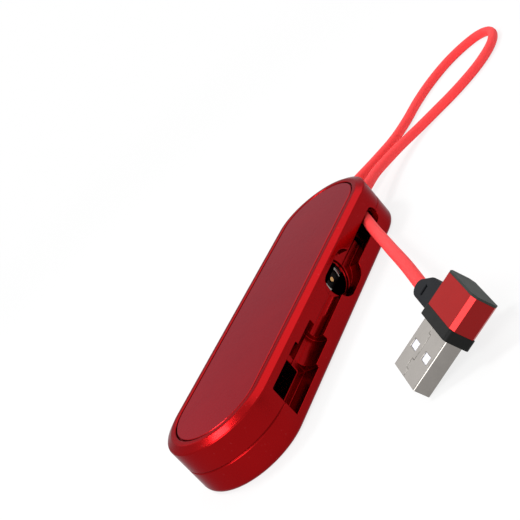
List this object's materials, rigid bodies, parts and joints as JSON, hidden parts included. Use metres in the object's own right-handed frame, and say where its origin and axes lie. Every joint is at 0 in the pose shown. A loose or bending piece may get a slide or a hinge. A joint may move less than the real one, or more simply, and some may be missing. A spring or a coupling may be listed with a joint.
{
  "type": "magnetic charging cable",
  "caption": "Flat rounded keyring holder with a side slot, a looped round cable, a right-angle USB plug pulled out of it, a stowed magnetic head and a spare magnetic tip.",
  "frame": {"origin": "centre of the holder's back face, which lies on the surface", "axes": "+X along the holder towards the loop, +Y across it away from the plug side, +Z out of the front face"},
  "size_m": [0.2066, 0.0935, 0.0156],
  "materials": {
    "red_shell": "metallic red lacquer, satin gloss",
    "red_panel": "metallic red lacquer, smooth",
    "red_sleeve": "red anodised, fine satin",
    "red_cable": "smooth coral red jacket",
    "plated_steel": "nickel plated, lightly brushed",
    "gold_contact": "gold plated",
    "black_plastic": "moulded black, satin",
    "grey_plastic": "dark grey, matt",
    "black_rubber": "soft black overmould",
    "white_plastic": "moulded white"
  },
  "bodies": {
    "root": {"front_shell": "red_shell", "back_shell": "red_shell", "front_panel": "red_panel", "usb_shell": "plated_steel", "usb_tongue": "white_plastic", "usb_contacts": "gold_contact", "plug_core": "black_plastic", "plug_sleeve": "red_sleeve", "plug_cap": "grey_plastic", "plug_relief": "black_rubber", "magnet_sleeve": "red_sleeve", "magnet_core": "black_plastic", "magnet_ring": "plated_steel", "magnet_pin": "gold_contact", "magnet_relief": "black_rubber", "tip_housing": "black_plastic", "tip_ring": "plated_steel", "tip_insulator": "black_plastic", "tip_pin": "gold_contact", "tip_connector": "plated_steel", "plug_lead": "red_cable", "inner_lead": "red_cable", "wrist_loop": "red_cable", "side_lead": "red_cable"}
  },
  "joints": []
}
